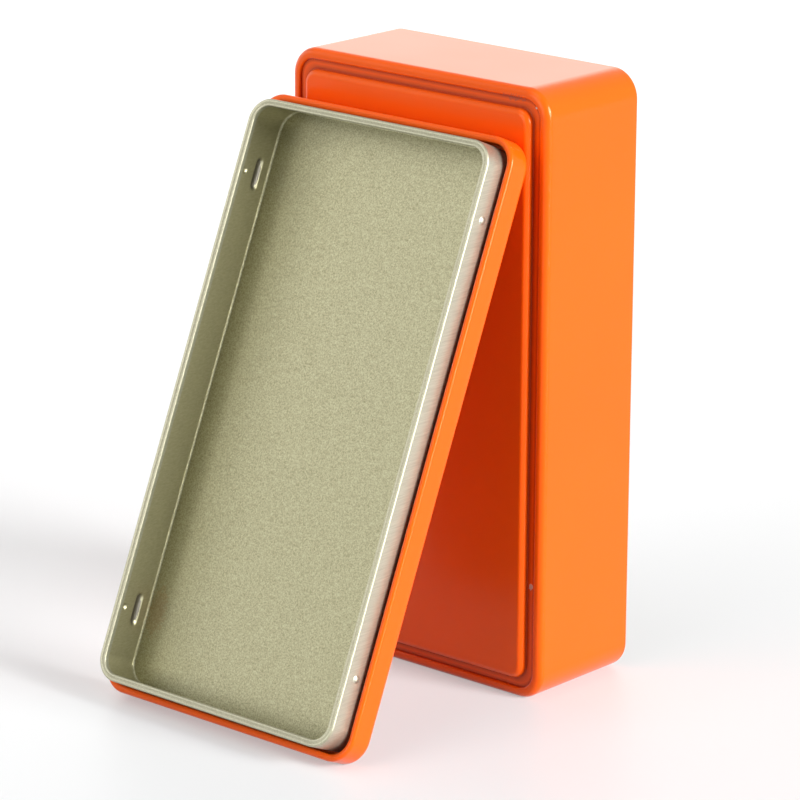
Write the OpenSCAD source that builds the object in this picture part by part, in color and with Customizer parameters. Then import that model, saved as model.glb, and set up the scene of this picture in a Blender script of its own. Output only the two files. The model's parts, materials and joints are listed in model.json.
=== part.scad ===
// Oblong tinplate box standing on one short end, with its lift-off plug lid leaning against
// the closed end. All sheet pieces are drawn flat, face down, and then stood up.

/* [Box] */
// Height of the standing box, which is its length when it lies flat
box_h = 190; // [150:1:230]
// Width of the box
box_w = 102.4; // [80:0.2:130]
// Depth of the box from the rim of its closed end to its mouth
box_d = 42.4; // [30:0.2:60]
// Radius of the four corners of the box outline
corner_r = 9; // [8:0.25:14]

/* [Sheet] */
// Thickness of the tinplate
sheet = 0.3; // [0.2:0.05:0.4]
// Outer radius of the fold between a wall and a face
fold_r = 2.3; // [1.5:0.1:2.8]
// Outer radius of the rolled edges
curl_r = 1.1; // [0.8:0.05:1.3]

/* [Pressed faces] */
// Flat crest of the rim next to the fold
rim_flat = 0.4; // [0:0.1:1]
// Radius where the crest turns down into the groove
lip_r = 0.7; // [0.5:0.1:1]
// Depth of the groove below the crest
groove_depth = 0.9; // [0.75:0.05:1.5]
// Width of the groove floor
groove_w = 2.9; // [2:0.1:4]
// Height of the raised panel above the crest
panel_rise = 1.6; // [1:0.1:2.5]
// Radius that rounds the edge of the raised panel
shoulder_r = 2; // [1:0.1:2.4]
// Corner radius of the raised panel at its foot
panel_corner_r = 4.5; // [3.5:0.25:8]
// Gap between the edge of the end panel and the inside of the fold
panel_fit = 0.05; // [0.03:0.01:0.2]

/* [Lid] */
// How far the lid outline lies inside the box outline
lid_step = 0.4; // [0:0.1:1]
// Radius that rounds the edge of the raised panel on the lid
lid_shoulder_r = 1.2; // [0.8:0.1:1.5]
// Depth of the skirt from the border of the lid to its rolled edge
skirt_d = 9; // [7.5:0.25:14]
// How far the plug stands out of the skirt
plug_out = 7; // [5:0.25:10]
// Gap between the rolled edge of the skirt and the plug wall
plug_gap = 0.8; // [0.6:0.05:1.2]
// Corner radius of the plug wall
plug_corner_r = 7.5; // [5:0.25:10]
// Outer radius of the bend between the tray floor and its wall
tray_bend_r = 1; // [0.6:0.1:2]

/* [Dimples and clinches] */
// Distance of the dimples and clinches from each end of the lid
detent_end = 25.5; // [18:0.5:40]
// Distance of the dimples from the top of the plug
dimple_down = 4.5; // [3.5:0.1:5.2]
// Width of a dimple at the wall
dimple_w = 2.4; // [1.6:0.1:3]
// How far a dimple stands out of the wall
dimple_out = 0.5; // [0.35:0.05:0.7]
// Length of a clinch
clinch_l = 10.5; // [7:0.25:14]
// Radius of the rounded back of a clinch
clinch_r = 2.2; // [1.8:0.1:2.6]
// How far a clinch stands out of the wall
clinch_out = 0.7; // [0.5:0.05:0.75]
// Distance of the middle of a clinch below the top of the skirt, whose rolled edge it lies under
clinch_down = 3.3; // [3.1:0.1:3.8]

/* [Placing] */
// Angle at which the lid leans back from upright
lean = 23.1; // [10:0.1:40]
// Sideways place of the lid
lid_x = -3.1; // [-20:0.1:20]
// Gap between the leaning lid and the raised panel of the box
lean_gap = 0.3; // [0.2:0.05:0.6]

/* [Hidden] */
$fn = 72;

ORANGE = [0.95, 0.33, 0.06];
TINPLATE = [0.62, 0.61, 0.5];

// The lid's outline follows the box outline
lid_w = box_w - 2 * lid_step;
lid_h = box_h - 2 * lid_step;
lid_corner_r = corner_r - lid_step;

// Width over which the section of a fold runs on flat into its plate, which ends halfway across
lap = 0.6;

// Across the face, inwards from the outline; fold_in is the inside of the fold at the groove
fold_in = fold_r - sqrt(pow(fold_r - sheet, 2) - pow(fold_r - groove_depth, 2));
lip_in = fold_r + rim_flat + lip_r;
shoulder_in = lip_in + groove_w;

// The plug wall stands just inside the rolled edge of the skirt
plug_in = 2 * curl_r + plug_gap;
plug_w = lid_w - 2 * plug_in;
plug_h = lid_h - 2 * plug_in;
plug_top = skirt_d + plug_out;
tray_floor = sheet;
floor_in = tray_bend_r + lap / 2;
dimple_at = plug_top - dimple_down;
dimple_r = (dimple_w * dimple_w / 4 + dimple_out * dimple_out) / (2 * dimple_out);
clinch_at = skirt_d - clinch_down;

// The lid turns about the centre line of its bottom fold, and its top fold touches the box
face_y = -box_d / 2 - panel_rise;
hinge_y = face_y - lean_gap - fold_r - (lid_h - 2 * fold_r) * sin(lean);
hinge_z = fold_r;

// Rounded rectangle about the origin
module outline(w, h, r) {
    square([w - 2 * r, h], center = true);
    square([w, h - 2 * r], center = true);
    for (x = [-1, 1], y = [-1, 1])
        translate([x * (w / 2 - r), y * (h / 2 - r)]) circle(r);
}

// Flat plate of that outline, from height z up to z + t
module plate(w, h, r, z, t) {
    translate([0, 0, z]) linear_extrude(t) outline(w, h, r);
}

// Carries a section round a rounded rectangle: x = 0 is the outline and x < 0 lies inside it
module around(w, h, r) {
    for (side = [0:3]) {
        across = side % 2 == 0 ? w / 2 : h / 2;
        along = side % 2 == 0 ? h / 2 : w / 2;
        rotate([0, 0, 90 * side]) {
            translate([across, along - r, 0])
                rotate([90, 0, 0]) linear_extrude(2 * (along - r)) children();
            translate([across - r, along - r, 0])
                rotate_extrude(angle = 90) translate([r, 0]) children();
        }
    }
}

// Quarter of a bent strip, with its centre at the origin; quarter 0 lies towards +x and +y
module bend(r, quarter) {
    rotate([0, 0, 90 * quarter]) intersection() {
        difference() {
            circle(r);
            circle(r - sheet);
        }
        square(r);
    }
}

// Section of a fold with its flat end at height z, running on into its plate by the lap
module fold_section(r, z) {
    translate([-r, z + r]) bend(r, 3);
    translate([-r - lap, z]) square([lap, sheet]);
}

// Section of a straight wall with its outer face at x = 0
module wall_section(from, to) {
    translate([-sheet, from]) square([sheet, to - from]);
}

// Section of an edge rolled inwards over three quarters of a turn, with its top at z
module curl_section(z) {
    translate([-curl_r, z - curl_r]) {
        bend(curl_r, 0);
        bend(curl_r, 1);
        bend(curl_r, 2);
    }
}

// Section of the outer fold, the crest and the lip that turns down to the groove
module rim_section() {
    translate([-fold_r, fold_r]) bend(fold_r, 3);
    translate([-fold_r - rim_flat, 0]) square([rim_flat, sheet]);
    translate([-fold_r - rim_flat, lip_r]) bend(lip_r, 2);
    translate([-lip_in, lip_r]) square([sheet, groove_depth - lip_r]);
}

// Pressed face with a border at that depth, which starts at_edge inside the outline, and a
// raised panel whose edge is rounded by the radius shoulder
module pressed_panel(w, h, r, at_edge, depth, shoulder) {
    foot_w = w - 2 * shoulder_in;
    foot_h = h - 2 * shoulder_in;
    middle_in = shoulder + lap / 2;
    difference() {
        plate(w - 2 * at_edge, h - 2 * at_edge, r - at_edge, depth, sheet);
        plate(foot_w - 2 * sheet, foot_h - 2 * sheet, panel_corner_r - sheet,
            depth - sheet, 3 * sheet);
    }
    around(foot_w, foot_h, panel_corner_r) {
        wall_section(shoulder - panel_rise, depth + sheet);
        fold_section(shoulder, -panel_rise);
    }
    plate(foot_w - 2 * middle_in, foot_h - 2 * middle_in, panel_corner_r - middle_in,
        -panel_rise, sheet);
}

// Wall of the box, folded in round its closed end and rolled in at its mouth
module body_shell() {
    color(ORANGE) standing_box() around(box_w, box_h, corner_r) {
        rim_section();
        wall_section(fold_r, box_d - curl_r);
        curl_section(box_d);
    }
}

// Pressed panel that closes the box; its edge lies behind the folded rim, inside the fold
module end_panel() {
    color(ORANGE) standing_box()
        pressed_panel(box_w, box_h, corner_r, fold_in + panel_fit, groove_depth, shoulder_r);
}

// Drawn outer shell of the lid: pressed face, skirt and rolled edge in one piece
module lid_shell() {
    color(ORANGE) leaning_lid() {
        pressed_panel(lid_w, lid_h, lid_corner_r, fold_r + lap / 2, 0, lid_shoulder_r);
        around(lid_w, lid_h, lid_corner_r) {
            fold_section(fold_r, 0);
            wall_section(fold_r, skirt_d - curl_r);
            curl_section(skirt_d);
        }
    }
}

// Bar along y that a clinch is pressed from
module clinch_bar(r) {
    rotate([90, 0, 0]) cylinder(h = clinch_l - 2 * (clinch_r - r), r = r, center = true);
}

// Puts a copy at each dimple and clinch, with x = 0 on the outer face of the plug wall
module at_detents() {
    for (y = [-1, 1], turn = [0, 180])
        rotate([0, 0, turn]) translate([plug_w / 2, y * (lid_h / 2 - detent_end), 0]) children();
}

// Dimple and clinch of one place; thin by the sheet, they are what is taken from the inside
module detent_forms(thin) {
    translate([dimple_out - dimple_r, 0, dimple_at]) rotate([0, 90, 0]) sphere(dimple_r - thin);
    translate([clinch_out - clinch_r, 0, clinch_at]) clinch_bar(clinch_r - thin);
}

// Half space outside the inner face of the plug wall, as high as the plug
module outside_wall() {
    reach = max(dimple_w, clinch_l);
    translate([-sheet, -reach, tray_floor]) cube([reach, 2 * reach, plug_out + skirt_d]);
}

// Drawn tray that plugs the mouth: floor, wall, edge rolled in at the top
module plug_tray() {
    color(TINPLATE) leaning_lid() difference() {
        union() {
            plate(plug_w - 2 * floor_in, plug_h - 2 * floor_in, plug_corner_r - floor_in,
                tray_floor, sheet);
            around(plug_w, plug_h, plug_corner_r) {
                fold_section(tray_bend_r, tray_floor);
                wall_section(tray_floor + tray_bend_r, plug_top - curl_r);
                curl_section(plug_top);
            }
            at_detents() intersection() {
                detent_forms(0);
                outside_wall();
            }
        }
        at_detents() detent_forms(sheet);
    }
}

// Stands a flat piece of the box on its short end, closed end towards -y
module standing_box() {
    translate([0, -box_d / 2, box_h / 2]) rotate([90, 0, 180]) children();
}

// Stands a flat piece of the lid on its fold, plug towards -y, and leans it back
module leaning_lid() {
    translate([lid_x, hinge_y, hinge_z]) rotate([-lean, 0, 0])
        translate([0, fold_r, lid_h / 2 - fold_r]) rotate([90, 0, 0]) children();
}

body_shell();
end_panel();
lid_shell();
plug_tray();
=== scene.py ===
# An enamelled tinplate box on its short end, with its loose plug lid leaning on the closed end.
# Each sheet is drawn flat, face down, as one section carried round its outline, and then stood up.
# Sizes of the pieces are in millimetres, and MM turns them into metres.

import json
import math

import bmesh
import bpy
from mathutils import Matrix, Vector

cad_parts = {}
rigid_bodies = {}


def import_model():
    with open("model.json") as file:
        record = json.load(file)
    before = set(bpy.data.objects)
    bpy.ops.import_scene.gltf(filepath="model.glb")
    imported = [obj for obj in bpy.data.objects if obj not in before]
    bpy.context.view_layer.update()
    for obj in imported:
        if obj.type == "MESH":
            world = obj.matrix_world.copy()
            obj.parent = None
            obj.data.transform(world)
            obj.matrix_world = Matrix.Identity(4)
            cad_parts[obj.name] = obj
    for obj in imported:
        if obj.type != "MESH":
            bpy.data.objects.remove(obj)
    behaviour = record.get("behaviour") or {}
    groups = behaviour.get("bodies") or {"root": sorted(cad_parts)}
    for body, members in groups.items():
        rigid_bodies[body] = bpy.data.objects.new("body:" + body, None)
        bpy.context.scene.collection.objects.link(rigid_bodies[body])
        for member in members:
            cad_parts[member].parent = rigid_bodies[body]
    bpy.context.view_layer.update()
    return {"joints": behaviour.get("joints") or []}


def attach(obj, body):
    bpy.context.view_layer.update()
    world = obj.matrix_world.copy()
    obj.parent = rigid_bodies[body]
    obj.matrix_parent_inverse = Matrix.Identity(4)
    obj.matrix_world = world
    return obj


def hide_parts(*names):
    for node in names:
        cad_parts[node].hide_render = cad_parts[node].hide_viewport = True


for leftover in list(bpy.data.objects):
    bpy.data.objects.remove(leftover)
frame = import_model()

MM = 0.001

# Box and sheet
BOX_W, BOX_D, BOX_H = 102.4, 42.4, 190.0
CORNER_R = 9.0
SHEET = 0.3
FOLD_R = 2.3
CURL_R = 1.1

# Pressed faces, inwards from the outline; the end panel's own edge lies at PANEL_EDGE_IN
RIM_FLAT = 0.4
LIP_R = 0.7
LIP_IN = FOLD_R + RIM_FLAT + LIP_R
GROOVE_W, GROOVE_DEPTH = 2.9, 0.9
FOOT_IN = LIP_IN + GROOVE_W
PANEL_EDGE_IN = 0.95
PANEL_RISE = 1.6
PANEL_CORNER_R = 4.5
SHOULDER_R = 2.0
FILLET = 0.3

# The border is drawn in to BORDER_TO and the raised panel from outside its foot, at RAISED_FROM,
# and a bridge joins them. The painted shade in the corners of the groove fades out over CREASE_W.
BORDER_RING, BORDER_TO, RAISED_FROM = 4.0, 4.6, -0.9
CREASE_W = 1.3

# Lid and its plug
LID_STEP = 0.4
LID_W, LID_H = BOX_W - 2 * LID_STEP, BOX_H - 2 * LID_STEP
LID_R = CORNER_R - LID_STEP
LID_SHOULDER_R = 1.2
SKIRT_D = 9.0
PLUG_GAP, PLUG_OUT = 0.8, 7.0
PLUG_IN = 2 * CURL_R + PLUG_GAP
PLUG_W, PLUG_H = LID_W - 2 * PLUG_IN, LID_H - 2 * PLUG_IN
PLUG_R = 7.5
PLUG_TOP = SKIRT_D + PLUG_OUT
TRAY_BEND_R = 1.0

# Rolled edge of the tray, as inset and height from its top: two beads with a shallow valley
# between them, and a hem turned back under them
OUTER_BEAD_R, INNER_BEAD_R = 0.62, 0.5
INNER_BEAD = (1.72, -0.58)
BEAD_VALLEY = [(1.21, -0.27), (1.366, -0.226)]
HEM_R, HEM_AT, HEM_TO = 0.4, -1.5, 0.9

# Rings of points on flat stretches: on the box wall from both its ends, on the skirt, on the
# tray floor, and on the plug wall, where the dimples and clinches lie between the two
WALL_RING = 6.0
SKIRT_RING, SKIRT_TOP_RING = 3.4, SKIRT_D - CURL_R - 0.8
FLOOR_RING = 6.0
PLUG_RING, PLUG_TOP_RING = 2.4, PLUG_TOP - 1.4

# Dimples and clinches, and how far the patches that they are pressed from reach to each side
DETENT_END, DIMPLE_DOWN, CLINCH_DOWN = 25.5, 4.5, 3.3
DETENT_Y = LID_H / 2 - DETENT_END
DIMPLE_AT = PLUG_TOP - DIMPLE_DOWN
DIMPLE_HALF, DIMPLE_OUT = 1.2, 0.5
DIMPLE_R = (DIMPLE_HALF**2 + DIMPLE_OUT**2) / (2 * DIMPLE_OUT)
DIMPLE_PATCH = 1.6
CLINCH_AT = SKIRT_D - CLINCH_DOWN
CLINCH_L, CLINCH_R, CLINCH_OUT = 10.5, 2.2, 0.7
CLINCH_HALF = math.sqrt(CLINCH_R**2 - (CLINCH_R - CLINCH_OUT) ** 2)
CLINCH_PATCH_L, CLINCH_PATCH_D = 5.7, 1.8
DIMPLE_CUTS, CLINCH_CUTS = 15, 23
PRESS_STEP = 0.02

# Steps in the bends; points that lie this near a place count as there, or are merged
CORNER_STEPS, CURL_STEPS, BEAD_STEPS = 24, 24, 12
FOLD_STEPS, TRAY_STEPS, LIP_STEPS, SMALL_STEPS = 10, 8, 6, 5
NEAR, MERGE = 0.01, 0.002

# The tray's finishes, in the order of its slots, and the heights at which two of them start
OUTSIDE_SLOT, INSIDE_SLOT, WALL_SLOT, EDGE_SLOT = range(4)
WALL_FINISH_FROM, EDGE_FINISH_FROM = 1.0, PLUG_TOP - 0.6

# Marks on the standing object, each as centre, stretch, radius and raggedness: a chip, a painted
# glint that stands in for a highlight, a dark scuff and a faint warm smudge
CHIPS_AND_GLINT = [
    ((46.4, -20.3, 36.4), (1, 1, 0.8), 0.8, 0.4),
    # Painted glint: a small pale spot in the top right corner of the groove, standing in for a
    # highlight
    ((45.9, -20.3, 184.4), (1, 1, 1), 0.35, 0.5),
]
SCUFF = ((37.5, -20.9, 186.4), (1, 1, 5), 4.0, 1.2)
WARM_SMUDGE = ((-47.0, -86.5, 23.5), (2.2, 1, 1), 7.5, 0.8)

# Painted shade in the recesses of the clinches, a little above their middles: stretch, radius and
# raggedness
CLINCH_SHADE_UP = 0.05
CLINCH_SHADE = ((0.3, 1, 0.29), 1.5, 0.12)

# Floor and world, and the camera in metres and degrees
FLOOR_COLOUR = (0.48, 0.483, 0.488, 1)
FLOOR_GLOW = 0.37
WORLD_LIGHT = (0.17, 0.172, 0.176, 1)
WORLD_SEEN = (0.60, 0.605, 0.62, 1)
CAMERA_AT = (0.8124, -0.9475, 0.4498)
CAMERA_AROUND, CAMERA_DOWN, CAMERA_ROLL = 41.463, 16.436, 0.3
LENS = 188.85

lean_joint = frame["joints"][0]
LEAN = math.radians(lean_joint["range_deg"][1])
HINGE = Vector(lean_joint["pos_m"])


# --- sheet work -----------------------------------------------------------------------------


def edit():
    bpy.ops.object.mode_set(mode="EDIT")


def done():
    bpy.ops.object.mode_set(mode="OBJECT")


def pick(piece, test, kind="EDGE"):
    """Selects the edges or faces whose every corner passes the test, in millimetres."""
    bpy.ops.mesh.select_mode(type=kind)
    bpy.ops.mesh.select_all(action="DESELECT")
    drawn = bmesh.from_edit_mesh(piece.data)
    for part in drawn.edges if kind == "EDGE" else drawn.faces:
        if all(test(corner.co / MM) for corner in part.verts):
            part.select_set(True)
    drawn.select_flush_mode()
    bmesh.update_edit_mesh(piece.data)


def first_point(name, x, y, z):
    """Starts a piece from one point."""
    bpy.ops.object.select_all(action="DESELECT")
    bpy.ops.mesh.primitive_plane_add(size=MM, location=(x * MM, y * MM, z * MM))
    piece = bpy.context.object
    piece.name = piece.data.name = name
    bpy.ops.object.transform_apply(location=True)
    edit()
    bpy.ops.mesh.select_mode(type="VERT")
    bpy.ops.mesh.select_all(action="SELECT")
    bpy.ops.mesh.merge(type="CENTER")
    return piece


def draw_section(x_side, at, moves):
    """Draws on from the point at, given as inset and depth.

    A move of two numbers is a line to that inset and depth. A move of four is a bend about a
    centre at that inset and depth, through so many degrees, clockwise with the face below and
    the outline on the right, in so many steps.
    """
    inset, depth = at
    for move in moves:
        if len(move) == 2:
            step = ((inset - move[0]) * MM, 0, (move[1] - depth) * MM)
            bpy.ops.mesh.extrude_region_move(TRANSFORM_OT_translate={"value": step})
            inset, depth = move
        else:
            mid_in, mid_depth, degrees, steps = move
            angle = math.radians(degrees)
            bpy.ops.mesh.spin(
                steps=steps,
                angle=angle,
                center=((x_side - mid_in) * MM, 0, mid_depth * MM),
                axis=(0, -1, 0),
            )
            out, up = mid_in - inset, depth - mid_depth
            inset = mid_in - (out * math.cos(angle) + up * math.sin(angle))
            depth = mid_depth + up * math.cos(angle) - out * math.sin(angle)


def merge_doubles():
    bpy.ops.mesh.select_all(action="SELECT")
    bpy.ops.mesh.remove_doubles(threshold=MERGE * MM)


def carry_round(width, height, radius):
    """Carries the drawn section round a rounded rectangle, from its long right side."""
    across, along = width / 2 - radius, height / 2 - radius
    corners = [(across, along), (-across, along), (-across, -along), (across, -along)]
    sides = [(0, 2 * along), (-2 * across, 0), (0, -2 * along), (2 * across, 0)]
    for (cx, cy), (dx, dy) in zip(corners, sides):
        bpy.ops.mesh.extrude_region_move(
            TRANSFORM_OT_translate={"value": (dx * MM, dy * MM, 0)}
        )
        bpy.ops.mesh.spin(
            steps=CORNER_STEPS,
            angle=math.radians(90),
            center=(cx * MM, cy * MM, 0),
            axis=(0, 0, -1),
        )
    merge_doubles()


def ring(name, width, height, radius, start, moves):
    """A section drawn from start by moves and carried round an outline."""
    piece = first_point(name, width / 2 - start[0], -(height / 2 - radius), start[1])
    draw_section(width / 2, start, moves)
    bpy.ops.mesh.select_all(action="SELECT")
    carry_round(width, height, radius)
    done()
    return piece


def inset_of(point, width, height, radius):
    """How far a point lies inside a rounded rectangle."""
    dx = max(abs(point.x) - (width / 2 - radius), 0)
    dy = max(abs(point.y) - (height / 2 - radius), 0)
    if dx == 0 and dy == 0:
        return radius + min(
            width / 2 - radius - abs(point.x), height / 2 - radius - abs(point.y)
        )
    return radius - math.hypot(dx, dy)


def mark_creases(piece, depth_in_crease):
    """Stores at each point how deep it lies in a corner of the groove, from 0 to 1, which sets how
    much shade is painted there.
    """
    marks = piece.data.attributes.new("painted_crease_shade", "FLOAT", "POINT")
    for point, mark in zip(piece.data.vertices, marks.data):
        mark.value = min(max(depth_in_crease(point.co / MM), 0), 1)


def crease_on_panel(place):
    """Deepest where the folded rim meets the groove and at the foot of the raised panel."""
    by_lip = 1 - (inset_of(place, BOX_W, BOX_H, CORNER_R) - LIP_IN) / CREASE_W
    past_foot = inset_of(place, BOX_W - 2 * FOOT_IN, BOX_H - 2 * FOOT_IN, PANEL_CORNER_R)
    if past_foot < -FILLET:
        return max(by_lip, 1 + (past_foot + FILLET) / CREASE_W)
    return 1 - (GROOVE_DEPTH - place.z) / CREASE_W


def crease_on_lip(place):
    """Deepest at the lower edge of the lip."""
    on_lip = inset_of(place, BOX_W, BOX_H, CORNER_R) > LIP_IN - LIP_R
    return place.z / GROOVE_DEPTH if on_lip else 0


def select_only(*pieces):
    """Selects these pieces alone and makes the first one active."""
    bpy.ops.object.select_all(action="DESELECT")
    for piece in pieces:
        piece.select_set(True)
    bpy.context.view_layer.objects.active = pieces[0]


def join(pieces, name):
    select_only(*pieces)
    bpy.ops.object.join()
    pieces[0].name = pieces[0].data.name = name
    return pieces[0]


def middle_at(depth):
    """Test for the face in the middle of a sheet, at that depth."""
    return lambda p: abs(p.z - depth) < NEAR and abs(p.x) < NEAR


def face_out(piece, test, outward):
    """Turns every face the same way round, so that the face that passes the test looks outward."""
    edit()
    bpy.ops.mesh.select_mode(type="FACE")
    bpy.ops.mesh.select_all(action="SELECT")
    bpy.ops.mesh.normals_make_consistent(inside=False)
    done()
    for face in piece.data.polygons:
        if test(face.center / MM):
            if face.normal.dot(Vector(outward)) < 0:
                edit()
                bpy.ops.mesh.select_all(action="SELECT")
                bpy.ops.mesh.flip_normals()
                done()
            return
    raise ValueError("no face of " + piece.name + " passes the test")


def give_thickness(piece, inner_slot):
    """Turns the drawn outer face into sheet and shades its bends."""
    select_only(piece)
    wall = piece.modifiers.new("sheet", "SOLIDIFY")
    wall.thickness = SHEET * MM
    wall.offset = -1
    wall.use_even_offset = True
    wall.material_offset = inner_slot
    bpy.ops.object.modifier_apply(modifier=wall.name)
    bpy.ops.object.shade_smooth_by_angle(angle=math.radians(38))
    shading = piece.modifiers.new("flat_stays_flat", "WEIGHTED_NORMAL")
    shading.mode = "FACE_AREA"
    shading.weight = 80
    shading.keep_sharp = True
    bpy.ops.object.modifier_apply(modifier=shading.name)


def stand_up(piece, place):
    select_only(piece)
    piece.matrix_world = place
    bpy.ops.object.transform_apply(location=True, rotation=True, scale=True)


def turn(degrees, axis):
    return Matrix.Rotation(math.radians(degrees), 4, axis)


BOX_PLACE = (
    Matrix.Translation((0, -BOX_D / 2 * MM, BOX_H / 2 * MM)) @ turn(180, "Z") @ turn(90, "X")
)
LID_PLACE = (
    Matrix.Translation(HINGE)
    @ Matrix.Rotation(-LEAN, 4, "X")
    @ Matrix.Translation((0, FOLD_R * MM, (LID_H / 2 - FOLD_R) * MM))
    @ turn(90, "X")
)


# --- pieces ---------------------------------------------------------------------------------


def make_body_shell():
    """Wall of the box: lip, crest and fold of the closed end, long wall, rolled mouth."""
    piece = ring(
        "box_wall",
        BOX_W,
        BOX_H,
        CORNER_R,
        (LIP_IN, GROOVE_DEPTH),
        [
            (LIP_IN, LIP_R),
            (LIP_IN - LIP_R, LIP_R, -90, LIP_STEPS),
            (FOLD_R, 0),
            (FOLD_R, FOLD_R, -90, FOLD_STEPS),
            (0, WALL_RING),
            (0, BOX_D - WALL_RING),
            (0, BOX_D - CURL_R),
            (CURL_R, BOX_D - CURL_R, -270, CURL_STEPS),
        ],
    )

    def middle_of_wall(p):
        return p.x > BOX_W / 2 - NEAR and abs(p.z - BOX_D / 2) < NEAR

    face_out(piece, middle_of_wall, (1, 0, 0))
    return piece


def pressed_face(name, width, height, radius, border_in, depth, shoulder):
    """Border, shoulder and raised panel of a face, as one sheet; the border starts border_in."""
    foot_w, foot_h = width - 2 * FOOT_IN, height - 2 * FOOT_IN
    border = ring(
        name + "_border",
        width,
        height,
        radius,
        (border_in, depth),
        [(LIP_IN, depth), (BORDER_RING, depth), (BORDER_TO, depth)],
    )
    raised = ring(
        name + "_raised",
        foot_w,
        foot_h,
        PANEL_CORNER_R,
        (RAISED_FROM, depth),
        [
            (-FILLET, depth),
            (-FILLET, depth - FILLET, -90, SMALL_STEPS),
            (0, shoulder - PANEL_RISE),
            (shoulder, shoulder - PANEL_RISE, 90, FOLD_STEPS),
        ],
    )
    piece = join([border, raised], name)
    edit()

    def on_open_edge(p):
        by_border = inset_of(p, width, height, radius) - BORDER_TO
        by_raised = inset_of(p, foot_w, foot_h, PANEL_CORNER_R) - RAISED_FROM
        return abs(p.z - depth) < NEAR and min(abs(by_border), abs(by_raised)) < NEAR

    pick(piece, on_open_edge)
    bpy.ops.mesh.bridge_edge_loops()
    pick(piece, lambda p: abs(p.z + PANEL_RISE) < NEAR)
    bpy.ops.mesh.edge_face_add()
    bpy.ops.mesh.select_mode(type="VERT")
    done()
    face_out(piece, middle_at(-PANEL_RISE), (0, 0, -1))
    return piece


def make_end_panel():
    """Panel that closes the box, with its edge behind the folded rim."""
    return pressed_face(
        "end_panel_sheet", BOX_W, BOX_H, CORNER_R, PANEL_EDGE_IN, GROOVE_DEPTH, SHOULDER_R
    )


def make_lid_shell():
    """Shell of the lid: face, fold, skirt and the rolled edge of the skirt."""
    face = pressed_face("lid_face", LID_W, LID_H, LID_R, FOLD_R, 0, LID_SHOULDER_R)
    skirt = ring(
        "lid_skirt",
        LID_W,
        LID_H,
        LID_R,
        (FOLD_R, 0),
        [
            (FOLD_R, FOLD_R, -90, FOLD_STEPS),
            (0, SKIRT_RING),
            (0, SKIRT_TOP_RING),
            (0, SKIRT_D - CURL_R),
            (CURL_R, SKIRT_D - CURL_R, -270, CURL_STEPS),
        ],
    )
    piece = join([face, skirt], "lid_shell_sheet")
    edit()
    merge_doubles()
    done()
    face_out(piece, middle_at(-PANEL_RISE), (0, 0, -1))
    return piece


def raise_points(piece, patch, height):
    """Presses the points of a patch out of the long walls, ring by ring."""
    edit()
    drawn = bmesh.from_edit_mesh(piece.data)
    steps = {}
    for point in drawn.verts:
        place = point.co / MM
        if patch(place):
            lift = round(height(place) / PRESS_STEP) * PRESS_STEP
            if lift > 0:
                steps.setdefault((place.x > 0, lift), set()).add(point.index)
    for (right, lift), members in steps.items():
        bpy.ops.mesh.select_mode(type="VERT")
        bpy.ops.mesh.select_all(action="DESELECT")
        drawn = bmesh.from_edit_mesh(piece.data)
        drawn.verts.ensure_lookup_table()
        for index in members:
            drawn.verts[index].select_set(True)
        bmesh.update_edit_mesh(piece.data)
        out = lift if right else -lift
        bpy.ops.transform.translate(value=(out * MM, 0, 0))
    done()


def cut_wall(piece, region, normal, places):
    """Cuts the long walls within a region by planes with that normal."""
    for place in places:
        pick(piece, region, "FACE")
        bpy.ops.mesh.bisect(plane_co=tuple(n * place * MM for n in normal), plane_no=normal)


def dimple_height(place):
    away = math.hypot(abs(place.y) - DETENT_Y, place.z - DIMPLE_AT)
    if away >= DIMPLE_HALF:
        return 0
    return math.sqrt(DIMPLE_R**2 - away**2) - (DIMPLE_R - DIMPLE_OUT)


def clinch_height(place):
    along = max(abs(abs(place.y) - DETENT_Y) - (CLINCH_L / 2 - CLINCH_HALF), 0)
    away = math.hypot(along, place.z - CLINCH_AT)
    if away > CLINCH_HALF:
        return 0
    return math.sqrt(CLINCH_R**2 - away**2) - (CLINCH_R - CLINCH_OUT)


def wall_patch(middle, reach, low, high):
    """Test for a patch of the long plug walls, this far to both sides of that middle."""

    def on_patch(p):
        on_wall = abs(p.x) > PLUG_W / 2 - NEAR
        return on_wall and abs(p.y - middle) < reach + NEAR and low - NEAR < p.z < high + NEAR

    return on_patch


def divide_for_detents(piece, middle):
    """Gives both long walls the fine mesh for the dimple and the clinch at that place."""
    along, up = (0, 1, 0), (0, 0, 1)
    dimple = (DIMPLE_AT - DIMPLE_PATCH, DIMPLE_AT + DIMPLE_PATCH)
    clinch = (CLINCH_AT - CLINCH_PATCH_D, CLINCH_AT + CLINCH_PATCH_D)
    wall = wall_patch(0, PLUG_H / 2, PLUG_RING, PLUG_TOP_RING)
    strip = wall_patch(middle, CLINCH_PATCH_L, PLUG_RING, PLUG_TOP_RING)
    by_dimple = wall_patch(middle, CLINCH_PATCH_L, *dimple)
    cut_wall(piece, wall, along, (middle - CLINCH_PATCH_L, middle + CLINCH_PATCH_L))
    cut_wall(piece, strip, up, clinch + dimple)
    cut_wall(piece, by_dimple, along, (middle - DIMPLE_PATCH, middle + DIMPLE_PATCH))
    for reach, heights, cuts in (
        (DIMPLE_PATCH, dimple, DIMPLE_CUTS),
        (CLINCH_PATCH_L, clinch, CLINCH_CUTS),
    ):
        pick(piece, wall_patch(middle, reach, *heights), "FACE")
        bpy.ops.mesh.subdivide(number_cuts=cuts)


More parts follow.
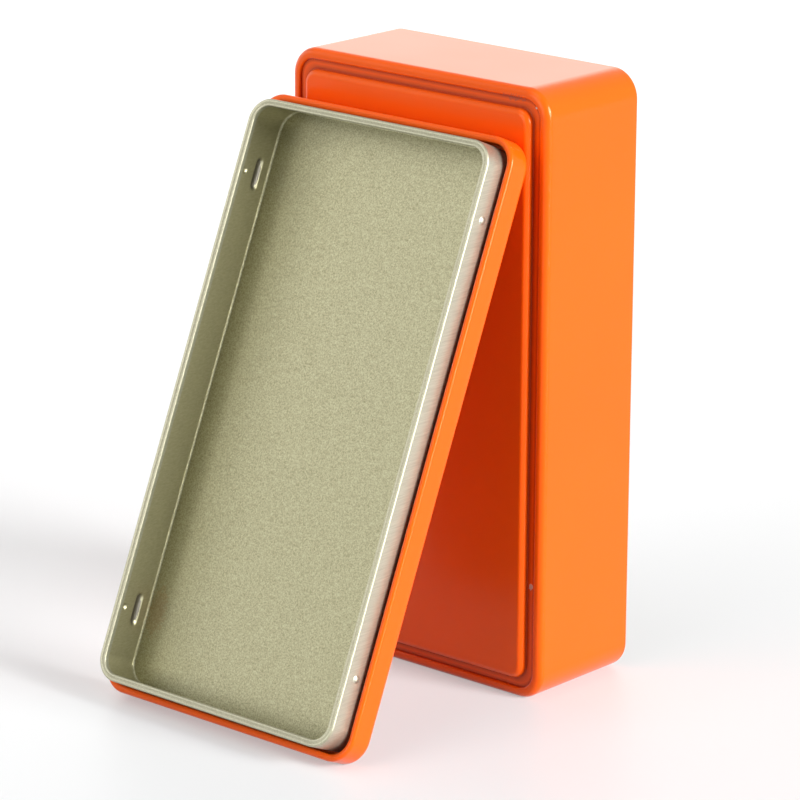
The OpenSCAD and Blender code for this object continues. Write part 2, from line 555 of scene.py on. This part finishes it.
def make_plug_tray():
    """Tray of the lid: floor, plug wall with dimples and clinches, rolled and flattened edge."""
    bead_in, bead_at = INNER_BEAD
    hem_in = bead_in + INNER_BEAD_R
    piece = ring(
        "plug_tray_sheet",
        PLUG_W,
        PLUG_H,
        PLUG_R,
        (FLOOR_RING, SHEET),
        [
            (TRAY_BEND_R, SHEET),
            (TRAY_BEND_R, SHEET + TRAY_BEND_R, -90, TRAY_STEPS),
            (0, PLUG_RING),
            (0, PLUG_TOP_RING),
            (0, PLUG_TOP - OUTER_BEAD_R),
            (OUTER_BEAD_R, PLUG_TOP - OUTER_BEAD_R, -135, BEAD_STEPS),
            *[(inset, PLUG_TOP + height) for inset, height in BEAD_VALLEY],
            (bead_in, PLUG_TOP + bead_at, -135, BEAD_STEPS),
            (hem_in, PLUG_TOP + HEM_AT),
            (hem_in - HEM_R, PLUG_TOP + HEM_AT, -90, SMALL_STEPS),
            (HEM_TO, PLUG_TOP + HEM_AT - HEM_R),
        ],
    )

    def on_floor_ring(p):
        return abs(p.z - SHEET) < NEAR and inset_of(p, PLUG_W, PLUG_H, PLUG_R) > FLOOR_RING - NEAR

    edit()
    pick(piece, on_floor_ring)
    bpy.ops.mesh.edge_face_add()
    for way in (-1, 1):
        divide_for_detents(piece, way * DETENT_Y)
    done()
    face_out(piece, middle_at(SHEET), (0, 0, -1))
    for height, at, reach in (
        (dimple_height, DIMPLE_AT, DIMPLE_PATCH),
        (clinch_height, CLINCH_AT, CLINCH_PATCH_D),
    ):
        raise_points(piece, wall_patch(0, PLUG_H / 2, at - reach, at + reach), height)
    return piece


# --- finishes -------------------------------------------------------------------------------


def new_group(name, inputs, outputs):
    """A node group with its own inputs, given as name, kind and value, and its outputs."""
    group = bpy.data.node_groups.new(name, "ShaderNodeTree")
    for label, kind, value in inputs:
        socket = group.interface.new_socket(name=label, in_out="INPUT", socket_type=kind)
        if value is not None:
            socket.default_value = value
    for label, kind in outputs:
        group.interface.new_socket(name=label, in_out="OUTPUT", socket_type=kind)
    return group, group.nodes.new("NodeGroupInput"), group.nodes.new("NodeGroupOutput")


def place_group(tree, group, values):
    """Places a group, with each input set to a number or linked to a socket."""
    node = tree.nodes.new("ShaderNodeGroup")
    node.node_tree = group
    for label, value in values.items():
        set_input(tree, node.inputs[label], value)
    return node.outputs


def set_input(tree, socket, value):
    if isinstance(value, bpy.types.NodeSocket):
        tree.links.new(value, socket)
    else:
        socket.default_value = value


def maths(tree, operation, first, second):
    node = tree.nodes.new("ShaderNodeMath")
    node.operation = operation
    set_input(tree, node.inputs[0], first)
    set_input(tree, node.inputs[1], second)
    return node.outputs[0]


def noise(tree, where, scale, detail, roughness=0.5):
    node = tree.nodes.new("ShaderNodeTexNoise")
    for label, value in (("Vector", where), ("Scale", scale), ("Detail", detail)):
        set_input(tree, node.inputs[label], value)
    node.inputs["Roughness"].default_value = roughness
    return node.outputs[0]


def spread(tree, value, low, high, to_low=0.0, to_high=1.0):
    """Carries a value from one range to another and clamps it there."""
    node = tree.nodes.new("ShaderNodeMapRange")
    node.clamp = True
    for socket, number in zip(node.inputs[:5], (value, low, high, to_low, to_high)):
        set_input(tree, socket, number)
    return node.outputs[0]


def mix_colour(tree, share, first, second):
    node = tree.nodes.new("ShaderNodeMix")
    node.data_type = "RGBA"
    for number, value in ((0, share), (6, first), (7, second)):
        set_input(tree, node.inputs[number], value)
    return node.outputs[2]


def mapped(tree, where, turned, scale=(1, 1, 1)):
    node = tree.nodes.new("ShaderNodeMapping")
    tree.links.new(where, node.inputs["Vector"])
    node.inputs["Rotation"].default_value = turned
    node.inputs["Scale"].default_value = scale
    return node.outputs[0]


def bump(tree, height, strength, distance):
    node = tree.nodes.new("ShaderNodeBump")
    node.inputs["Strength"].default_value = strength
    node.inputs["Distance"].default_value = distance
    tree.links.new(height, node.inputs["Height"])
    return node.outputs[0]


def new_material(name):
    material = bpy.data.materials.new(name)
    material.use_nodes = True
    tree = material.node_tree
    shader = tree.nodes["Principled BSDF"]
    where = tree.nodes.new("ShaderNodeTexCoord").outputs["Object"]
    return material, tree, shader, where


def build_unevenness_group():
    """Slow unevenness of rolled and pressed sheet, from 0 to 1."""
    group, given, made = new_group(
        "sheet_unevenness",
        [("Vector", "NodeSocketVector", None), ("Scale", "NodeSocketFloat", 20.0)],
        [("Value", "NodeSocketFloat")],
    )
    slow = noise(group, given.outputs["Vector"], given.outputs["Scale"], 2.0)
    group.links.new(spread(group, slow, 0.15, 0.85), made.inputs["Value"])
    return group


def build_grain_group():
    """Fine crystal grain of tinplate, from dark to pale."""
    group, given, made = new_group(
        "tin_grain",
        [
            ("Vector", "NodeSocketVector", None),
            ("Scale", "NodeSocketFloat", 2000.0),
            ("Low", "NodeSocketFloat", 0.3),
            ("High", "NodeSocketFloat", 0.7),
        ],
        [("Value", "NodeSocketFloat")],
    )
    fine = noise(group, given.outputs["Vector"], given.outputs["Scale"], 4.0, 0.8)
    sharp = spread(group, fine, given.outputs["Low"], given.outputs["High"])
    group.links.new(sharp, made.inputs["Value"])
    return group


def build_spot_group():
    """Ragged spot about a centre, from 0 to 1, for wear, a smudge, a painted glint and painted
    shade.
    """
    group, given, made = new_group(
        "ragged_spot",
        [
            ("Vector", "NodeSocketVector", None),
            ("Centre", "NodeSocketVector", (0, 0, 0)),
            ("Stretch", "NodeSocketVector", (1, 1, 1)),
            ("Radius", "NodeSocketFloat", 0.001),
            ("Raggedness", "NodeSocketFloat", 0.5),
        ],
        [("Mask", "NodeSocketFloat")],
    )
    away = group.nodes.new("ShaderNodeVectorMath")
    away.operation = "SUBTRACT"
    group.links.new(given.outputs["Vector"], away.inputs[0])
    group.links.new(given.outputs["Centre"], away.inputs[1])
    drawn_in = group.nodes.new("ShaderNodeVectorMath")
    drawn_in.operation = "MULTIPLY"
    group.links.new(away.outputs[0], drawn_in.inputs[0])
    group.links.new(given.outputs["Stretch"], drawn_in.inputs[1])
    length = group.nodes.new("ShaderNodeVectorMath")
    length.operation = "LENGTH"
    group.links.new(drawn_in.outputs[0], length.inputs[0])
    near = maths(group, "DIVIDE", length.outputs["Value"], given.outputs["Radius"])
    ragged = maths(group, "SUBTRACT", noise(group, given.outputs["Vector"], 1400.0, 3.0, 0.7), 0.5)
    wobble = maths(group, "MULTIPLY", ragged, given.outputs["Raggedness"])
    edge = maths(group, "ADD", near, maths(group, "MULTIPLY", wobble, 4.0))
    group.links.new(spread(group, edge, 1.05, 0.85), made.inputs["Mask"])
    return group


def ragged_spot_mask(tree, spot, where, centre, stretch, radius, raggedness):
    """Mask of one ragged spot, its centre and radius in millimetres."""
    values = {
        "Vector": where,
        "Centre": Vector(centre) * MM,
        "Stretch": stretch,
        "Radius": radius * MM,
        "Raggedness": raggedness,
    }
    return place_group(tree, spot, values)["Mask"]


def finish_tin(tree, shader, colour, roughness, relief, metallic):
    """Gives a finish of bare or lacquered tin its colour, roughness and relief."""
    tree.links.new(colour, shader.inputs["Base Color"])
    tree.links.new(roughness, shader.inputs["Roughness"])
    tree.links.new(relief, shader.inputs["Normal"])
    shader.inputs["Metallic"].default_value = metallic


def orange_enamel(unevenness, spot):
    """Satin orange enamel with orange peel, one chip and a dark scuff, with painted shade in the
    corners of the groove and a painted glint at its top right corner.
    """
    material, tree, shader, where = new_material("orange_enamel")
    deep, light = (0.85, 0.098, 0.002, 1), (0.90, 0.107, 0.0025, 1)
    slow = place_group(tree, unevenness, {"Vector": where, "Scale": 18.0})["Value"]
    colour = mix_colour(tree, slow, deep, light)
    roughness = spread(tree, slow, 0, 1, 0.26, 0.32)
    # Painted shade: the enamel turns dark red in the corners of the groove and at the foot of the
    # lip, where shade falls
    painted_crease_shade = tree.nodes.new("ShaderNodeAttribute")
    painted_crease_shade.attribute_name = "painted_crease_shade"
    painted_shade_share = maths(tree, "MULTIPLY", painted_crease_shade.outputs["Fac"], 0.8)
    colour = mix_colour(tree, painted_shade_share, colour, (0.30, 0.014, 0.001, 1))

    # Pale bare metal where the enamel is chipped, and the painted glint in the same finish
    chip_and_glint = 0.0
    for chip in CHIPS_AND_GLINT:
        chip_and_glint = maths(tree, "MAXIMUM", chip_and_glint, ragged_spot_mask(tree, spot, where, *chip))
    scuff = ragged_spot_mask(tree, spot, where, *SCUFF)
    colour = mix_colour(tree, maths(tree, "MULTIPLY", scuff, 0.5), colour, (0.25, 0.08, 0.06, 1))
    colour = mix_colour(tree, chip_and_glint, colour, (0.55, 0.48, 0.42, 1))
    tree.links.new(colour, shader.inputs["Base Color"])
    tree.links.new(roughness, shader.inputs["Roughness"])
    tree.links.new(maths(tree, "MULTIPLY", chip_and_glint, 0.8), shader.inputs["Metallic"])

    peel = noise(tree, where, 700.0, 2.0)
    sag = maths(tree, "MULTIPLY", noise(tree, where, 45.0, 1.0), 4.0)
    sunk = maths(tree, "MULTIPLY", chip_and_glint, 2.0)
    relief = maths(tree, "SUBTRACT", maths(tree, "ADD", sag, peel), sunk)
    tree.links.new(bump(tree, relief, 0.06, 0.00005), shader.inputs["Normal"])
    shader.inputs["IOR"].default_value = 1.42
    shader.inputs["Specular Tint"].default_value = (1.0, 0.42, 0.15, 1)
    shader.inputs["Coat Weight"].default_value = 0.25
    shader.inputs["Coat Roughness"].default_value = 0.16
    return material


def lacquered_tin(unevenness, grain, spot):
    """Tray floor and inside of the box: pale gold lacquer on sparkling tinplate, with one faint
    warm brown smudge.
    """
    material, tree, shader, where = new_material("lacquered_tin")
    crystals = place_group(
        tree, grain, {"Vector": where, "Scale": 1900.0, "Low": 0.34, "High": 0.66}
    )["Value"]
    colour = mix_colour(tree, crystals, (0.22, 0.205, 0.115, 1), (0.48, 0.46, 0.30, 1))
    slow = place_group(tree, unevenness, {"Vector": where, "Scale": 12.0})["Value"]
    colour = mix_colour(tree, maths(tree, "MULTIPLY", slow, 0.12), colour, (0.30, 0.29, 0.14, 1))
    # A faint warm brown smudge mixed in at one place
    warm_smudge = ragged_spot_mask(tree, spot, where, *WARM_SMUDGE)
    colour = mix_colour(tree, maths(tree, "MULTIPLY", warm_smudge, 0.25), colour, (0.36, 0.18, 0.07, 1))
    roughness = spread(tree, crystals, 0, 1, 0.40, 0.30)
    finish_tin(tree, shader, colour, roughness, bump(tree, crystals, 0.35, 0.00008), 0.9)
    return material


def lacquered_wall(grain, spot):
    """Inner side of the plug wall: lacquer stretched thin and smooth, with painted shade in the
    four clinch recesses.
    """
    material, tree, shader, where = new_material("lacquered_wall")
    upright = mapped(tree, where, turned=(LEAN, 0, 0))
    along_lid = mapped(tree, where, turned=(LEAN, 0, 0), scale=(1, 0.3, 1))
    lines = place_group(
        tree, grain, {"Vector": along_lid, "Scale": 2100.0, "Low": 0.30, "High": 0.70}
    )["Value"]
    colour = mix_colour(tree, lines, (0.40, 0.38, 0.24, 1), (0.52, 0.50, 0.33, 1))
    upright_lid = Matrix.Rotation(LEAN, 4, "X") @ LID_PLACE
    # Painted shade: dark grey-brown in each clinch recess, where shade falls
    for side in (-1, 1):
        for way in (-1, 1):
            shade_at = Vector((side * PLUG_W / 2, way * DETENT_Y, CLINCH_AT + CLINCH_SHADE_UP)) * MM
            centre = upright_lid @ shade_at / MM
            clinch_shade = maths(
                tree, "MULTIPLY", ragged_spot_mask(tree, spot, upright, centre, *CLINCH_SHADE), 0.9
            )
            colour = mix_colour(tree, clinch_shade, colour, (0.15, 0.14, 0.125, 1))
    roughness = spread(tree, lines, 0, 1, 0.38, 0.32)
    finish_tin(tree, shader, colour, roughness, bump(tree, lines, 0.15, 0.00006), 0.85)
    return material


def rolled_tin_edge(grain):
    """Rolled and flattened edge of the tray, where the lacquer is thin and the tin pale."""
    material, tree, shader, where = new_material("rolled_tin_edge")
    crystals = place_group(tree, grain, {"Vector": where, "Scale": 2300.0})["Value"]
    colour = mix_colour(tree, crystals, (0.35, 0.335, 0.23, 1), (0.55, 0.53, 0.395, 1))
    roughness = spread(tree, crystals, 0, 1, 0.50, 0.42)
    finish_tin(tree, shader, colour, roughness, bump(tree, crystals, 0.15, 0.00005), 0.9)
    return material


def bare_drawn_tin(unevenness, grain):
    """Outside of the plug wall: bare tinplate with the fine lines that drawing left."""
    material, tree, shader, where = new_material("bare_tin")
    along_lid = mapped(tree, where, turned=(LEAN, 0, 0), scale=(1, 0.05, 1))
    lines = place_group(
        tree, grain, {"Vector": along_lid, "Scale": 2300.0, "Low": 0.32, "High": 0.68}
    )["Value"]
    colour = mix_colour(tree, lines, (0.43, 0.43, 0.34, 1), (0.56, 0.56, 0.45, 1))
    slow = place_group(tree, unevenness, {"Vector": where, "Scale": 30.0})["Value"]
    roughness = spread(tree, slow, 0, 1, 0.36, 0.44)
    finish_tin(tree, shader, colour, roughness, bump(tree, lines, 0.2, 0.00005), 0.85)
    return material


# --- floor, light and camera ----------------------------------------------------------------


def seen_or_mirrored(tree):
    """1 for what the camera sees, directly or in a reflection, and 0 for light that bounces."""
    path = tree.nodes.new("ShaderNodeLightPath").outputs
    shown = maths(tree, "MAXIMUM", path["Is Camera Ray"], path["Is Glossy Ray"])
    return maths(tree, "MAXIMUM", shown, path["Is Transmission Ray"])


def make_floor():
    bpy.ops.mesh.primitive_plane_add(size=6, location=(0, 0, 0))
    floor = bpy.context.object
    floor.name = "floor"
    material, tree, shader, _ = new_material("pale_table")
    shader.inputs["Base Color"].default_value = FLOOR_COLOUR
    shader.inputs["Roughness"].default_value = 0.45
    shader.inputs["IOR"].default_value = 1.2
    shader.inputs["Emission Color"].default_value = (0.99, 0.99, 1, 1)
    glow = maths(tree, "MULTIPLY", seen_or_mirrored(tree), FLOOR_GLOW)
    tree.links.new(glow, shader.inputs["Emission Strength"])
    floor.data.materials.append(material)


def make_camera():
    """Long lens, from the right and a little above, fitted to the two outlines."""
    data = bpy.data.cameras.new("camera")
    camera = bpy.data.objects.new("camera", data)
    bpy.context.scene.collection.objects.link(camera)
    data.sensor_width = 36
    data.lens = LENS
    data.clip_start, data.clip_end = 0.05, 50
    around, down, roll = map(math.radians, (CAMERA_AROUND, CAMERA_DOWN, CAMERA_ROLL))
    ahead = Vector(
        (-math.sin(around) * math.cos(down), math.cos(around) * math.cos(down), -math.sin(down))
    )
    right = Vector((math.cos(around), math.sin(around), 0))
    up = right.cross(ahead)
    level_right = math.cos(roll) * right + math.sin(roll) * up
    level_up = math.cos(roll) * up - math.sin(roll) * right
    frame_axes = Matrix((level_right, level_up, -ahead)).transposed().to_4x4()
    camera.matrix_world = Matrix.Translation(CAMERA_AT) @ frame_axes
    bpy.context.scene.camera = camera


def add_light(name, kind, at, towards):
    data = bpy.data.lights.new(name, kind)
    light = bpy.data.objects.new(name, data)
    bpy.context.scene.collection.objects.link(light)
    light.location = at
    light.rotation_euler = (Vector(towards) - Vector(at)).to_track_quat("-Z", "Y").to_euler()
    light.visible_camera = False
    return data


def broad_light(name, at, share, spread_angle):
    """Far, broad light that adds this share of full brightness to a surface facing it."""
    data = add_light(name, "SUN", at, (0, 0, 0))
    data.energy = share * math.pi
    data.angle = math.radians(spread_angle)


def softbox(name, at, towards, width, height, glow, tint=(1, 1, 1)):
    """Rectangular lamp of that brightness, where 1 is white."""
    data = add_light(name, "AREA", at, towards)
    data.color = tint
    data.shape = "RECTANGLE"
    data.size, data.size_y = width, height
    data.energy = glow * math.pi * width * height


def make_world():
    world = bpy.data.worlds.new("studio")
    bpy.context.scene.world = world
    world.use_nodes = True
    tree = world.node_tree
    colour = mix_colour(tree, seen_or_mirrored(tree), WORLD_LIGHT, WORLD_SEEN)
    tree.links.new(colour, tree.nodes["Background"].inputs["Color"])


# --- the object -----------------------------------------------------------------------------


def dress_shell(piece, finishes):
    """Gives a shell its thickness, with the first finish outside and the last inside."""
    for finish in finishes:
        piece.data.materials.append(finish)
    give_thickness(piece, len(finishes) - 1)


def dress_tray(piece, finishes):
    """Gives the tray its thickness and its finishes, which come in the order of its slots."""
    for finish in finishes:
        piece.data.materials.append(finish)
    for face in piece.data.polygons:
        on_edge = face.center.z > EDGE_FINISH_FROM * MM
        face.material_index = EDGE_SLOT if on_edge else OUTSIDE_SLOT
    give_thickness(piece, INSIDE_SLOT)
    for face in piece.data.polygons:
        if face.material_index == INSIDE_SLOT and face.center.z > WALL_FINISH_FROM * MM:
            face.material_index = WALL_SLOT


def set_in_frame(piece, place, body, node):
    """Stands a finished piece where it belongs, ties it to its body and hides the node that it
    stands in for.
    """
    stand_up(piece, place)
    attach(piece, body)
    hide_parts(node)


box_wall = make_body_shell()
end_panel = make_end_panel()
lid_shell = make_lid_shell()
plug_tray = make_plug_tray()

unevenness = build_unevenness_group()
grain = build_grain_group()
spot = build_spot_group()
enamel = orange_enamel(unevenness, spot)
tin_inside = lacquered_tin(unevenness, grain, spot)
tin_wall = lacquered_wall(grain, spot)
tin_edge = rolled_tin_edge(grain)
tin_outside = bare_drawn_tin(unevenness, grain)

mark_creases(box_wall, crease_on_lip)
mark_creases(end_panel, crease_on_panel)
dress_shell(box_wall, (enamel, tin_inside))
dress_shell(end_panel, (enamel, tin_inside))
dress_shell(lid_shell, (enamel,))
dress_tray(plug_tray, (tin_outside, tin_inside, tin_wall, tin_edge))
set_in_frame(box_wall, BOX_PLACE, "box", "body_shell")
set_in_frame(end_panel, BOX_PLACE, "box", "end_panel")
set_in_frame(lid_shell, LID_PLACE, "lid", "lid_shell")
set_in_frame(plug_tray, LID_PLACE, "lid", "plug_tray")

make_floor()
make_world()
make_camera()
broad_light("right_key", (0.90, 0.16, 0.40), 0.90, 20)
broad_light("low_right_key", (0.95, 0.03, 0.25), 1.06, 30)
broad_light("front_fill", (-0.2, -1, 0.25), 0.33, 40)
broad_light("front_top_fill", (-0.1, -0.5, 0.87), 0.18, 40)
softbox("left_front_panel", (-0.95, -0.70, 0.72), (0, 0, 0.1), 0.55, 0.8, 0.8)
softbox("left_panel", (-1.0, -0.25, 0.30), (0, 0, 0.1), 0.8, 0.8, 0.9)
softbox("back_softbox", (-0.75, 0.85, 0.42), (0, 0, 0.15), 1.2, 0.8, 1.4, (1, 0.97, 0.88))

bpy.context.scene.view_settings.view_transform = "Standard"
